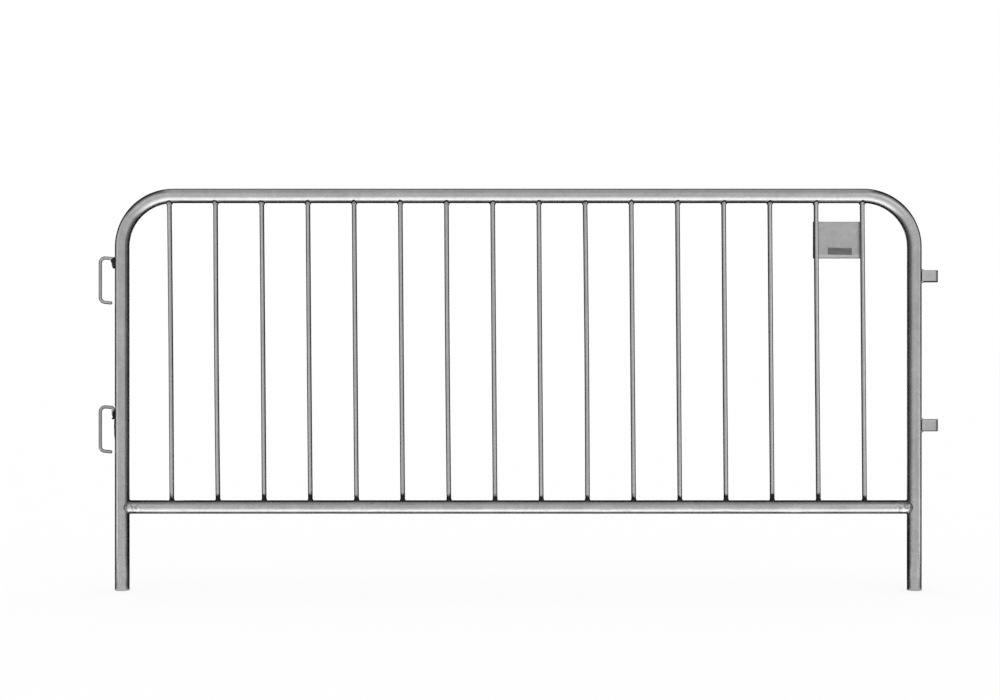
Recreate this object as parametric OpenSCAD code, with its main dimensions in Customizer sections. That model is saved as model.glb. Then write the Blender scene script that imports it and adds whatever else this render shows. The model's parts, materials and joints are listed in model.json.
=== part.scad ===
// Pedestrian barrier panel of welded and galvanised steel tube.
// One bent tube makes both legs and the top rail. A bottom rail and upright bars fill it in.
// Two rod hooks on the left leg drop into the strap eyes on the right leg of the next panel.
// The front faces -Y, +X is to the right, +Z is up, and the legs end at Z = 0.

/* [Frame tube] */
// Width across the outer sides of the two legs
panel_w = 2210; // [1600:10:2600]
// Height from the leg ends to the top of the top rail
panel_h = 1100; // [1000:10:1300]
// Outside diameter of the frame tube
frame_d = 40; // [36:0.5:50]
// Wall of the frame tube
frame_wall = 2; // [1.5:0.1:4]
// Radius of the corner bends at the tube's centre line
bend_r = 140; // [100:5:200]

/* [Bottom rail] */
// Outside diameter of the bottom rail
rail_d = 37; // [28:0.5:40]
// Wall of the bottom rail
rail_wall = 2; // [1.5:0.1:4]
// Height of the bottom rail's centre line
rail_z = 228; // [120:1:320]

/* [Infill bars] */
// Number of bars
bar_count = 16; // [8:1:20]
// Outside diameter of a bar
bar_d = 13; // [10:0.5:20]
// Wall of a bar
bar_wall = 1.5; // [1:0.1:3]
// Distance from a leg's centre line to the centre line of the bar beside it
bar_inset = 136; // [100:1:180]
// How far each bar leans to the left between the centre lines of the rails
bar_lean = 7; // [0:0.5:15]

/* [Hooks] */
// Diameter of the hook rod
rod_d = 9; // [7:0.5:12]
// Distance from the leg's outer side to the centre line of the hook's upright
hook_out = 40; // [32:0.5:60]
// Distance from the start of the corner bend down to the upper hook's arm
hook_drop = 29; // [10:1:120]
// Distance from the upper hook's arm down to the lower hook's arm
hook_spacing = 408; // [250:1:480]
// Height of a hook between the centre lines of its arm and its lower bend
hook_h = 124; // [80:1:160]
// Radius of the bend from the arm into the upright, at the rod's centre line
hook_top_r = 13; // [7:0.5:18]
// Radius of the bend from the upright into the return, at the rod's centre line
hook_low_r = 13; // [8:0.5:18]
// Gap between the leg and the tip of the return
hook_tip_gap = 7; // [4:0.5:12]
// Length of the tail that lies on the leg, below the arm's centre line
tail_len = 26; // [18:1:50]
// Radius of the bend from the tail into the arm, at the rod's centre line
tail_r = 7; // [6:0.5:12]

/* [Eyes] */
// Height of the eye's strap
eye_h = 33; // [20:1:50]
// Thickness of the eye's strap
eye_t = 5; // [3:0.5:8]
// Distance from a hook's arm down to the middle of the eye at the same level
eye_drop = 51; // [35:1:80]
// Room beside a hook's rod in the eye, both sides together
eye_side_clearance = 5; // [2:0.5:8]
// Room between the end of the eye and a hook that stands in it
eye_end_clearance = 2; // [1:0.5:8]

/* [Plate] */
// Height of the plate
plate_h = 101; // [60:1:140]
// Thickness of the plate
plate_t = 2; // [1:0.1:4]
// Distance from the top rail's centre line down to the plate's upper edge
plate_drop = 70; // [50:1:120]
// Part of the plate to the left of the first bar that carries it
plate_overhang = 8; // [4:0.5:20]
// Part of the plate to the right of the second bar that carries it
plate_lap = 3; // [2:0.5:20]
// Gap between the back of the bars and the front of the plate
plate_gap = 0.1; // [0.05:0.05:0.3]

/* [Label strip] */
// Width of the bare strip on the plate
label_w = 66; // [30:1:80]
// Height of the strip
label_h = 21; // [10:1:40]
// Thickness of the strip
label_t = 0.5; // [0.3:0.1:1]
// Distance from the plate's lower edge to the strip
label_rise = 11; // [4:0.5:30]

/* [Welds] */
// How far a bar's weld spreads round the bar
weld_leg = 3.5; // [3:0.5:8]
// How far a bar's weld runs along the bar
weld_h = 5; // [3:0.5:10]
// Leg of the weld round each end of the bottom rail
rail_weld_leg = 2.5; // [2:0.5:6]
// Radius of the short beads on the hooks, eyes and plate
bead_r = 4.5; // [3:0.5:5]
// Radius of the beads along both sides of a hook's tail
groove_bead_r = 3.5; // [2.5:0.5:4.5]

/* [Hidden] */
$fn = 64;
over_cut = 1;
zinc = [0.66, 0.67, 0.68];
worn_zinc = [0.58, 0.59, 0.60];
weld_grey = [0.42, 0.43, 0.44];
label_grey = [0.36, 0.37, 0.38];

// Frame
frame_r = frame_d / 2;
frame_bore_r = frame_r - frame_wall;
leg_x = panel_w / 2 - frame_r;
top_z = panel_h - frame_r;
bend_x = leg_x - bend_r;
bend_z = top_z - bend_r;

// Rail and bars
rail_r = rail_d / 2;
bar_r = bar_d / 2;
bar_span = 2 * (leg_x - bar_inset);
bar_pitch = bar_span / (bar_count - 1);
lean_angle = atan2(bar_lean, top_z - rail_z);
weld_rise = weld_leg / 2;

// Hooks, measured outwards from the leg's centre line
rod_r = rod_d / 2;
tail_x = frame_r + rod_r;
upright_x = frame_r + hook_out;
return_len = hook_out - hook_tip_gap - hook_low_r - rod_r;
groove_bead_out = groove_bead_r / 3;
hook_z = bend_z - hook_drop;
hook_levels = [hook_z, hook_z - hook_spacing];

// Eyes, measured outwards from the leg's centre line
slot_r = (rod_d + eye_side_clearance) / 2;
strap_r = slot_r + eye_t;
strap_root_x = sqrt(frame_r * frame_r - slot_r * slot_r);
eye_end_x = upright_x + rod_r - hook_tip_gap + eye_end_clearance + eye_t;
strap_bend_x = eye_end_x - strap_r;
eye_bead_out = bead_r / 4;

// Plate, behind the last two bars
plate_bars = [bar_count - 2, bar_count - 1];
plate_z = top_z - plate_drop - plate_h;
plate_x = bar_at(plate_bars[0], plate_z + plate_h / 2) - plate_overhang;
plate_w = plate_overhang + bar_pitch + plate_lap;
plate_y = bar_r + plate_gap;

// Name of a bar, counted from the left as infill_bar_01 and so on
function bar_name(i) = str("infill_bar_", i < 9 ? "0" : "", i + 1);

// Place of a bar's foot along the panel
function bar_x(i) = i * bar_pitch - bar_span / 2;

// Place of a leaning bar along the panel at a height
function bar_at(i, z) = bar_x(i) - bar_lean * (z - rail_z) / (top_z - rail_z);

// Length of a bar from the bottom rail's centre line up to a height
function bar_length(z) = (z - rail_z) / cos(lean_angle);

// Height of the frame's centre line above a place along the panel, on the bends too
function frame_z(x) =
    abs(x) <= bend_x ? top_z : bend_z + sqrt(bend_r * bend_r - pow(abs(x) - bend_x, 2));

// Quarter bend of a round rod or tube in the XZ plane, about its bend centre
module rod_bend(bend, r, from) {
    rotate([90, 0, 0])
        rotate([0, 0, from])
            rotate_extrude(angle = 90)
                translate([bend, 0])
                    circle(r = r);
}

// Solid run of the frame's centre line at a given radius, with its legs drawn out below
module frame_run(r, below = 0) {
    for (side = [0, 1])
        mirror([side, 0, 0]) {
            translate([leg_x, 0, -below])
                cylinder(r = r, h = bend_z + below);
            translate([bend_x, 0, bend_z])
                rod_bend(bend_r, r, 0);
        }
    translate([-bend_x, 0, top_z])
        rotate([0, 90, 0])
            cylinder(r = r, h = 2 * bend_x);
}

// Solid leg outlines up to the bends
module legs() {
    for (side = [-1, 1])
        translate([side * leg_x, 0, 0])
            cylinder(r = frame_r, h = bend_z);
}

// Solid run of the bottom rail between the legs' centre lines
module rail_run(r, beyond = 0) {
    translate([-leg_x - beyond, 0, rail_z])
        rotate([0, 90, 0])
            cylinder(r = r, h = 2 * (leg_x + beyond));
}

// Puts a piece on a bar's leaning centre line, a given length above the bottom rail's centre line
module on_bar(i, length) {
    translate([bar_x(i), 0, rail_z])
        rotate([0, -lean_angle, 0])
            translate([0, 0, length])
                children();
}

// Solid run of a bar between the centre lines of the rails
module bar_run(i, r) {
    on_bar(i, 0)
        cylinder(r = r, h = bar_length(frame_z(bar_at(i, top_z))));
}

// Fillet of weld round a bar: Z = 0 is where the tube begins, and +Z points into the tube
module bar_fillet(tube_r) {
    slope = weld_leg / (weld_h + weld_rise);
    start = weld_h + bar_wall / slope;
    toe_r = bar_r + weld_leg;
    rotate_extrude()
        polygon([
            [0, -start],
            [bar_r - bar_wall, -start],
            [toe_r, weld_rise],
            [toe_r, tube_r / 2],
            [0, tube_r / 2]
        ]);
}

module frame_tube() {
    color(zinc)
        difference() {
            frame_run(frame_r);
            frame_run(frame_bore_r, over_cut);
        }
}

module bottom_rail() {
    color(zinc)
        difference() {
            rail_run(rail_r);
            rail_run(rail_r - rail_wall, over_cut);
            legs();
        }
}

// A collar at each end of the rail that follows the saddle cut round the leg
module rail_end_welds() {
    color(weld_grey)
        for (side = [-1, 1])
            difference() {
                intersection() {
                    rail_run(rail_r + rail_weld_leg);
                    translate([side * (leg_x - rail_weld_leg), 0, 0])
                        cylinder(r = frame_r, h = bend_z);
                }
                rail_run(rail_r);
                legs();
            }
}

// A tube with both ends cut to seat on the rails
module infill_bar(i) {
    color(worn_zinc)
        difference() {
            bar_run(i, bar_r);
            bar_run(i, bar_r - bar_wall);
            frame_run(frame_r);
            rail_run(rail_r);
        }
}

module bar_top_welds() {
    color(weld_grey)
        for (i = [0 : bar_count - 1])
            difference() {
                on_bar(i, bar_length(frame_z(bar_at(i, top_z)) - frame_r))
                    bar_fillet(frame_r);
                frame_run(frame_r);
                bar_run(i, bar_r);
            }
}

module bar_bottom_welds() {
    color(weld_grey)
        for (i = [0 : bar_count - 1])
            difference() {
                on_bar(i, rail_r)
                    mirror([0, 0, 1])
                        bar_fillet(rail_r);
                rail_run(rail_r);
                bar_run(i, bar_r);
            }
}

// A hook of bent rod: tail on the leg, arm, upright and return, with its arm at Z = 0
module hook() {
    low_z = hook_low_r - hook_h;
    translate([-tail_x, 0, -tail_len])
        cylinder(r = rod_r, h = tail_len - tail_r);
    translate([-tail_x - tail_r, 0, -tail_r])
        rod_bend(tail_r, rod_r, 0);
    translate([hook_top_r - upright_x, 0, 0])
        rotate([0, 90, 0])
            cylinder(r = rod_r, h = upright_x - hook_top_r - tail_x - tail_r);
    translate([hook_top_r - upright_x, 0, -hook_top_r])
        rod_bend(hook_top_r, rod_r, 90);
    translate([-upright_x, 0, low_z])
        cylinder(r = rod_r, h = -hook_top_r - low_z);
    translate([hook_low_r - upright_x, 0, low_z])
        rod_bend(hook_low_r, rod_r, 180);
    translate([hook_low_r - upright_x, 0, -hook_h])
        rotate([0, 90, 0])
            cylinder(r = rod_r, h = return_len);
    translate([hook_low_r - upright_x + return_len, 0, -hook_h])
        sphere(r = rod_r);
}

module upper_hook() {
    color(zinc)
        translate([-leg_x, 0, hook_levels[0]])
            hook();
}

module lower_hook() {
    color(zinc)
        translate([-leg_x, 0, hook_levels[1]])
            hook();
}

// One bead on each side of the tail, in the groove beside the leg, and one over its bend
module hook_beads() {
    leg_reach = frame_r + groove_bead_out;
    rod_reach = rod_r + groove_bead_out;
    turn = acos(
        (tail_x * tail_x + leg_reach * leg_reach - rod_reach * rod_reach) / (2 * tail_x * leg_reach)
    );
    difference() {
        union() {
            for (side = [-1, 1])
                rotate([0, 0, side * turn])
                    translate([-leg_reach, 0, -tail_len])
                        cylinder(r = groove_bead_r, h = tail_len - tail_r);
            translate([-leg_reach, 0, 0])
                sphere(r = bead_r);
        }
        hook();
        translate([0, 0, -hook_h])
            cylinder(r = frame_r, h = 2 * hook_h);
    }
}

module hook_welds() {
    color(weld_grey)
        for (z = hook_levels)
            translate([-leg_x, 0, z])
                hook_beads();
}

// Outline of the strap loop seen from above, from its root on the leg to its round end
module loop_outline(r, root) {
    translate([root, -r])
        square([strap_bend_x - root, 2 * r]);
    translate([strap_bend_x, 0])
        circle(r = r);
}

// A flat strap bent to a loop, with its middle at Z = 0 and its ends cut square
module eye() {
    translate([0, 0, -eye_h / 2])
        linear_extrude(height = eye_h)
            difference() {
                loop_outline(strap_r, strap_root_x);
                loop_outline(slot_r, strap_root_x - over_cut);
            }
}

// Beads on the upper and lower edges of both ends of the strap
module eye_beads() {
    bead_x = strap_root_x + eye_bead_out;
    bead_y = slot_r + eye_t / 2;
    bead_z = eye_h / 2 + eye_bead_out;
    difference() {
        for (side = [-1, 1], end = [-1, 1])
            translate([bead_x, side * bead_y, end * bead_z])
                sphere(r = bead_r);
        eye();
        translate([0, 0, -eye_h])
            cylinder(r = frame_r, h = 2 * eye_h);
    }
}

module upper_eye() {
    color(zinc)
        translate([leg_x, 0, hook_levels[0] - eye_drop])
            eye();
}

module lower_eye() {
    color(zinc)
        translate([leg_x, 0, hook_levels[1] - eye_drop])
            eye();
}

module eye_welds() {
    color(weld_grey)
        for (z = hook_levels)
            translate([leg_x, 0, z - eye_drop])
                eye_beads();
}

module plate() {
    color(worn_zinc)
        translate([plate_x, plate_y, plate_z])
            cube([plate_w, plate_t, plate_h]);
}

// Tack welds on the plate's upper and lower edges, against the back of its two bars
module plate_welds() {
    color(weld_grey)
        for (i = plate_bars, z = [plate_z, plate_z + plate_h])
            difference() {
                translate([bar_at(i, z), plate_y + plate_t / 2, z])
                    sphere(r = bead_r);
                plate();
                bar_run(i, bar_r);
            }
}

// Bare strip on the front of the plate, midway between its two bars
module label_strip() {
    mid_x = bar_at(plate_bars[0], plate_z) + bar_pitch / 2;
    color(label_grey)
        translate([mid_x - label_w / 2, plate_y - label_t, plate_z + label_rise])
            cube([label_w, label_t, label_h]);
}

frame_tube();
bottom_rail();
rail_end_welds();
for (i = [0 : bar_count - 1])
    infill_bar(i);
bar_top_welds();
bar_bottom_welds();
upper_hook();
lower_hook();
hook_welds();
upper_eye();
lower_eye();
eye_welds();
plate();
plate_welds();
label_strip();
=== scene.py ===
"""Looks of a galvanised pedestrian barrier panel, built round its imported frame, in metres."""
import json
import math

import bmesh
import bpy
import numpy as np
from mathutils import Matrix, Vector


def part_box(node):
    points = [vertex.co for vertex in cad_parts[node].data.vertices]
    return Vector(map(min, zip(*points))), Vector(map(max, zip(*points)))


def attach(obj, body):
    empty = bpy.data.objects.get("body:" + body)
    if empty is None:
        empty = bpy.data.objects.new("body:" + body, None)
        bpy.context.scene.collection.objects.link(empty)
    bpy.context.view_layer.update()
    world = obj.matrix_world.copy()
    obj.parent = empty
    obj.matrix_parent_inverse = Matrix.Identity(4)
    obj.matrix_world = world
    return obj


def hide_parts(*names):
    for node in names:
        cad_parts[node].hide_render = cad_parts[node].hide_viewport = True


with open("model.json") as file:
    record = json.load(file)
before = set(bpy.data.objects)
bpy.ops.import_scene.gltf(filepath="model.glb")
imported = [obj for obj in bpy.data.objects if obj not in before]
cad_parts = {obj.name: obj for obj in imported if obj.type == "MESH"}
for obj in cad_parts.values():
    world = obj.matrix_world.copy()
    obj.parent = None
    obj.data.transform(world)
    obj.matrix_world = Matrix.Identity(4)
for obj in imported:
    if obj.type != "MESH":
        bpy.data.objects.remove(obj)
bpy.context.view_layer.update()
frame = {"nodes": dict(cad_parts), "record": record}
mounts = {m["name"]: m for m in frame["record"]["mounts"]}
scene = bpy.context.scene
scene.view_settings.view_transform = "Standard"

# Camera
# It stands square to the front of the panel, a little left of the middle and above mid-height,
# and takes in a strip of the panel's plane as wide as the view.
camera_x = -0.050
camera_z = 0.658
camera_distance = 5.0
view_width = 2.74

camera_data = bpy.data.cameras.new("camera")
camera_data.sensor_width = 36.0
camera_data.lens = camera_data.sensor_width * camera_distance / view_width
camera = bpy.data.objects.new("camera", camera_data)
camera.location = (camera_x, -camera_distance, camera_z)
camera.rotation_euler = (math.radians(90), 0, 0)
scene.collection.objects.link(camera)
scene.camera = camera

# Frame tube
# One length of round steel tube, bent at two corners to make both legs and the top rail.
# It is dipped in zinc after welding, which leaves a grey skin with drawn streaks and small pits.
leg_socket = mounts["right_leg_socket"]
leg_x = leg_socket["pos_m"][0]
bore_r = leg_socket["dims"]["r_mm"] / 1000
bend_z = leg_socket["dims"]["length_mm"] / 1000
tube_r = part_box("frame_tube")[1].y
top_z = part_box("frame_tube")[1].z - tube_r
bend_r = top_z - bend_z
bend_x = leg_x - bend_r
tube_sides = 64
end_round = 0.0005
leg_steps, corner_steps, top_steps = 48, 41, 96
leg_steps_from = 0.02


def panel_path():
    """Centre line of the bent tube, from the left leg's end to the right leg's end.
    Each bend is a quarter circle about (x, z) = (-bend_x or bend_x, bend_z).
    Returns the points and the directions that point out of the panel, as rows."""
    near_end = np.array([0, end_round])
    up = np.concatenate([near_end, np.linspace(leg_steps_from, bend_z, leg_steps)])
    turn = np.linspace(0, math.pi / 2, corner_steps)[1:]
    along = np.linspace(-bend_x, bend_x, top_steps)[1:]
    left = np.stack([np.full_like(up, -leg_x), up], 1)
    left_bend = np.stack([-bend_x - bend_r * np.cos(turn), bend_z + bend_r * np.sin(turn)], 1)
    top = np.stack([along, np.full_like(along, top_z)], 1)
    right_bend = np.stack([bend_x + bend_r * np.sin(turn), bend_z + bend_r * np.cos(turn)], 1)
    right = np.stack([np.full_like(up, leg_x), up[::-1]], 1)[1:]
    flat = np.concatenate([left, left_bend, top, right_bend, right])
    out = np.concatenate([
        np.tile([-1.0, 0.0], (len(left), 1)),
        np.stack([-np.cos(turn), np.sin(turn)], 1),
        np.tile([0.0, 1.0], (len(top), 1)),
        np.stack([np.sin(turn), np.cos(turn)], 1),
        np.tile([1.0, 0.0], (len(right), 1)),
    ])
    return flat, out


def round_angles(count):
    """Angles of a full turn, without the last, which is the first again."""
    return np.linspace(0, 2 * math.pi, count, endpoint=False)


def carried_rings(flat, out, radius, sides):
    """Circles carried along a line in the panel's plane, as a grid of points.
    A point is line + r (cos a out + sin a back), where a runs round the circle."""
    a = round_angles(sides)
    r = np.broadcast_to(radius, len(flat))[:, None]
    x = flat[:, :1] + r * np.cos(a) * out[:, :1]
    y = r * np.sin(a) + 0 * x
    z = flat[:, 1:] + r * np.cos(a) * out[:, 1:]
    return np.stack([x, y, z], -1)


def grid_arrays(grid, close_rows):
    """Vertices and quads of a grid that is closed round its columns, and also round its rows if asked.
    The corners of each quad come with their distance along the rows and round the columns."""
    rows, cols = grid.shape[:2]
    i, j = np.meshgrid(np.arange(rows if close_rows else rows - 1), np.arange(cols), indexing="ij")
    next_i = (i + 1) % rows
    next_j = (j + 1) % cols
    faces = np.stack([i * cols + j, i * cols + next_j, next_i * cols + next_j, next_i * cols + j], -1)
    step = np.linalg.norm(np.diff(grid, axis=0), axis=-1).mean(1)
    length = np.concatenate([[0], np.cumsum(step)])
    girth = np.linalg.norm(grid - np.roll(grid, -1, 1), axis=-1).sum(1).max()
    around = np.arange(cols + 1) * girth / cols
    u = np.stack([length[i], length[i], length[next_i], length[next_i]], -1)
    v = np.stack([around[j], around[j + 1], around[j + 1], around[j]], -1)
    uv = np.stack([u, v], -1)
    return grid.reshape(-1, 3), faces.reshape(-1, 4), uv.reshape(-1, 2)


def make_piece(name, grids, material, nodes, close_rows=True, sharp=40):
    """One object from one or more closed grids, with smooth faces and edges sharper than an angle kept."""
    verts, faces, uvs, base = [], [], [], 0
    for grid in grids:
        points, quads, uv = grid_arrays(grid, close_rows)
        verts.append(points)
        faces.append(quads + base)
        uvs.append(uv)
        base += len(points)
    mesh = bpy.data.meshes.new(name)
    mesh.from_pydata(np.concatenate(verts).tolist(), [], np.concatenate(faces).tolist())
    layer = mesh.uv_layers.new(name="along_and_round")
    layer.uv.foreach_set("vector", np.concatenate(uvs).astype(np.float32).ravel())
    mesh.polygons.foreach_set("use_smooth", np.ones(len(mesh.polygons), bool))
    mesh.materials.append(material)
    close_poles(mesh)
    mesh.set_sharp_from_angle(angle=math.radians(sharp))
    piece = bpy.data.objects.new(name, mesh)
    scene.collection.objects.link(piece)
    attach(piece, "root")
    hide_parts(*nodes)
    return piece


def close_poles(mesh):
    """Merges points that lie on each other, such as a ring that has shrunk to a pole.
    Then it turns the faces outwards."""
    work = bmesh.new()
    work.from_mesh(mesh)
    bmesh.ops.remove_doubles(work, verts=work.verts, dist=1e-7)
    bmesh.ops.recalc_face_normals(work, faces=work.faces)
    work.to_mesh(mesh)
    work.free()


def add_node(tree, kind, inputs=None, **settings):
    """Adds a shader node. Inputs maps a socket's name or number to a value or to another node's output."""
    made = tree.nodes.new(kind)
    for key, value in settings.items():
        setattr(made, key, value)
    for key, value in (inputs or {}).items():
        if isinstance(value, bpy.types.NodeSocket):
            tree.links.new(value, made.inputs[key])
        else:
            made.inputs[key].default_value = value
    return made


def calc(tree, operation, *values):
    """Adds a math node for numbers or other nodes' outputs, and gives its output."""
    return add_node(tree, "ShaderNodeMath", dict(enumerate(values)), operation=operation).outputs[0]


def new_material(name):
    """A material with its node tree and its shader."""
    material = bpy.data.materials.new(name)
    material.use_nodes = True
    return material, material.node_tree, material.node_tree.nodes["Principled BSDF"]


bloom_tilt = 0.3
bloom_from, bloom_full = 0.22, 0.72
bloom_metal = 0.2


def bloom_behind(tree, place, shader):
    """A dull bloom of oxide on the back, and on the top behind its crest.
    The metal share falls from 1 to bloom_metal as n_y + bloom_tilt n_z rises.
    Here n is the outward normal, and n_z counts only upwards."""
    turned = add_node(tree, "ShaderNodeSeparateXYZ", {"Vector": place.outputs["Normal"]})
    upward = calc(tree, "MAXIMUM", turned.outputs["Z"], 0.0)
    behind = calc(tree, "MULTIPLY_ADD", upward, bloom_tilt, turned.outputs["Y"])
    metal = add_node(tree, "ShaderNodeMapRange", {
        "Value": behind, "From Min": bloom_from, "From Max": bloom_full,
        "To Min": 1.0, "To Max": bloom_metal})
    tree.links.new(metal.outputs["Result"], shader.inputs["Metallic"])


def zinc_coat(name, tone, roughness, streaks, spangle, pits, scuffs=0.16, rubs=0.10):
    """Weathered zinc: cloudy grey with streaks along the tube, faint crystals, scuffs, dark rubs and pits."""
    material, tree, shader = new_material(name)
    place = add_node(tree, "ShaderNodeTexCoord")
    cloud = add_node(tree, "ShaderNodeTexNoise", {
        "Vector": place.outputs["Object"], "Scale": 9.0, "Detail": 5.0, "Roughness": 0.62})
    grain = add_node(tree, "ShaderNodeTexNoise", {
        "Vector": place.outputs["Object"], "Scale": 700.0, "Detail": 2.0})
    drawn = add_node(tree, "ShaderNodeMapping", {
        "Vector": place.outputs["UV"], "Scale": (2.5, 260.0, 1.0)})
    streak = add_node(tree, "ShaderNodeTexNoise", {
        "Vector": drawn.outputs["Vector"], "Scale": 1.0, "Detail": 4.0, "Roughness": 0.6})
    crystal = add_node(tree, "ShaderNodeTexVoronoi", {
        "Vector": place.outputs["Object"], "Scale": 95.0, "Randomness": 1.0})
    flake = add_node(tree, "ShaderNodeSeparateColor", {"Color": crystal.outputs["Color"]})
    slanted = add_node(tree, "ShaderNodeMapping", {
        "Vector": place.outputs["UV"], "Rotation": (0, 0, math.radians(24)), "Scale": (26.0, 420.0, 1.0)})
    scratch = add_node(tree, "ShaderNodeTexNoise", {
        "Vector": slanted.outputs["Vector"], "Scale": 1.0, "Detail": 2.0})
    scuff = add_node(tree, "ShaderNodeMapRange", {
        "Value": scratch.outputs["Fac"], "From Min": 0.66, "From Max": 0.76})
    lengthwise = add_node(tree, "ShaderNodeMapping", {
        "Vector": place.outputs["UV"], "Scale": (15.0, 190.0, 1.0)})
    smear = add_node(tree, "ShaderNodeTexNoise", {
        "Vector": lengthwise.outputs["Vector"], "Scale": 1.0, "Detail": 3.0})
    rub = add_node(tree, "ShaderNodeMapRange", {
        "Value": smear.outputs["Fac"], "From Min": 0.64, "From Max": 0.72})
    pit_cell = add_node(tree, "ShaderNodeTexVoronoi", {
        "Vector": place.outputs["Object"], "Scale": 16.0, "Randomness": 1.0})
    pit = add_node(tree, "ShaderNodeMapRange", {
        "Value": pit_cell.outputs["Distance"], "From Min": 0.022, "From Max": 0.034,
        "To Min": 1.0, "To Max": 0.0})
    clouds, grains = 0.42, 0.10
    shares = [
        (cloud.outputs["Fac"], clouds), (streak.outputs["Fac"], streaks), (flake.outputs["Red"], spangle),
        (grain.outputs["Fac"], grains),
    ]
    marks = [
        (scuff.outputs["Result"], scuffs), (rub.outputs["Result"], -rubs), (pit.outputs["Result"], -pits),
    ]
    total = 1 - sum(weight for _, weight in shares) / 2
    for value, weight in shares + marks:
        total = calc(tree, "MULTIPLY_ADD", value, weight, total)
    colour = add_node(tree, "ShaderNodeVectorMath", {
        0: (tone, tone, tone), "Scale": total}, operation="SCALE")
    dull = add_node(tree, "ShaderNodeMapRange", {
        "Value": cloud.outputs["Fac"], "From Min": 0.3, "From Max": 0.7,
        "To Min": roughness - 0.06, "To Max": roughness + 0.08})
    relief = calc(tree, "MULTIPLY_ADD", streak.outputs["Fac"], 0.6, grain.outputs["Fac"])
    bump = add_node(tree, "ShaderNodeBump", {"Height": relief, "Strength": 0.12, "Distance": 0.0006})
    bloom_behind(tree, place, shader)
    tree.links.new(colour.outputs["Vector"], shader.inputs["Base Color"])
    tree.links.new(dull.outputs["Result"], shader.inputs["Roughness"])
    tree.links.new(bump.outputs["Normal"], shader.inputs["Normal"])
    return material


tube_zinc = zinc_coat("tube_zinc", tone=0.365, roughness=0.25, streaks=0.30, spangle=0.10, pits=0.55)
line, outwards = panel_path()
rounded = np.full(len(line), tube_r)
rounded[[0, -1]] -= end_round
outer_wall = carried_rings(line, outwards, rounded, tube_sides)
inner_wall = carried_rings(line, outwards, bore_r, tube_sides)[::-1]
make_piece("bent_frame", [np.concatenate([outer_wall, inner_wall])], tube_zinc, ["frame_tube"])

# Bottom rail
# A straight tube, a little slimmer than the frame, with both ends cut to a saddle that sits on the legs.
# Years of stacking have left shallow dents and rubs along it, and welding has mottled its ends; their last
# stretch also has painted shade.
rail_low, rail_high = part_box("bottom_rail")
rail_r = rail_high.y
rail_z = (rail_low.z + rail_high.z) / 2
rail_wall = 0.002
rail_steps = 400
dent_count = 14
dent_rng = np.random.default_rng(7)
dent_x = dent_rng.uniform(-0.95, 0.95, dent_count)
dent_turn = dent_rng.uniform(0, 2 * math.pi, dent_count)
dent_depth = dent_rng.uniform(0.0003, 0.0011, dent_count)
dent_length = dent_rng.uniform(0.008, 0.03, dent_count)
dent_spread = 0.35


def rail_rings(radius):
    """Rail wall between the legs: x runs to leg_x - sqrt(tube_r^2 - y^2), the saddle round the leg.
    Each dent takes d exp(-(x / length)^2 - (turn / spread)^2) off the radius."""
    a = round_angles(tube_sides)
    reach = leg_x - np.sqrt(tube_r ** 2 - (radius * np.cos(a)) ** 2)
    share = np.linspace(-1, 1, rail_steps)[:, None]
    x = share * reach
    off_x = (x[..., None] - dent_x) / dent_length
    off_turn = np.sin((a[:, None] - dent_turn) / 2) * 2 / dent_spread
    radius = radius - (dent_depth * np.exp(-off_x ** 2 - off_turn ** 2)).sum(-1)
    return np.stack([x, radius * np.cos(a), rail_z + radius * np.sin(a)], -1)


def mottle_and_shade_ends(material, end, width, depth, dim):
    """Mottles a coat towards both ends along X with fine patches, up to depth paler or darker.
    It starts within width of an end, and the last quarter also falls towards 1 - dim of its tone, as painted
    shade that dims the highlight next to the leg."""
    tree = material.node_tree
    base = tree.nodes["Principled BSDF"].inputs["Base Color"]
    coat = base.links[0].from_socket
    where = add_node(tree, "ShaderNodeTexCoord")
    split = add_node(tree, "ShaderNodeSeparateXYZ", {"Vector": where.outputs["Object"]})
    off_middle = calc(tree, "ABSOLUTE", split.outputs["X"])
    near_end = add_node(tree, "ShaderNodeMapRange", {
        "Value": off_middle, "From Min": end - width, "From Max": end - width / 3})
    patches = add_node(tree, "ShaderNodeTexNoise", {
        "Vector": where.outputs["Object"], "Scale": 150.0, "Detail": 3.0})
    lift = add_node(tree, "ShaderNodeMapRange", {
        "Value": patches.outputs["Fac"], "From Min": 0.35, "From Max": 0.65,
        "To Min": -depth, "To Max": depth})
    patchy = calc(tree, "MULTIPLY_ADD", lift.outputs["Result"], near_end.outputs["Result"], 1.0)
    painted_end_shade = add_node(tree, "ShaderNodeMapRange", {
        "Value": off_middle, "From Min": end - width / 4, "From Max": end + width / 8,
        "To Min": 1.0, "To Max": 1 - dim})
    factor = calc(tree, "MULTIPLY", patchy, painted_end_shade.outputs["Result"])
    mottled = add_node(tree, "ShaderNodeVectorMath", {0: coat, "Scale": factor}, operation="SCALE")
    tree.links.new(mottled.outputs["Vector"], base)


rail_zinc = zinc_coat("rail_zinc", tone=0.365, roughness=0.26, streaks=0.30, spangle=0.10, pits=0.60,
                      scuffs=0.34, rubs=0.34)
# Besides the mottling, the last stretch of each end is darkened: painted shade that dims the highlight near
# the leg.
mottle_and_shade_ends(rail_zinc, end=leg_x - tube_r, width=0.045, depth=0.5, dim=0.25)
make_piece("lower_rail", [np.concatenate([rail_rings(rail_r), rail_rings(rail_r - rail_wall)[::-1]])],
           rail_zinc, ["bottom_rail"])
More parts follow.
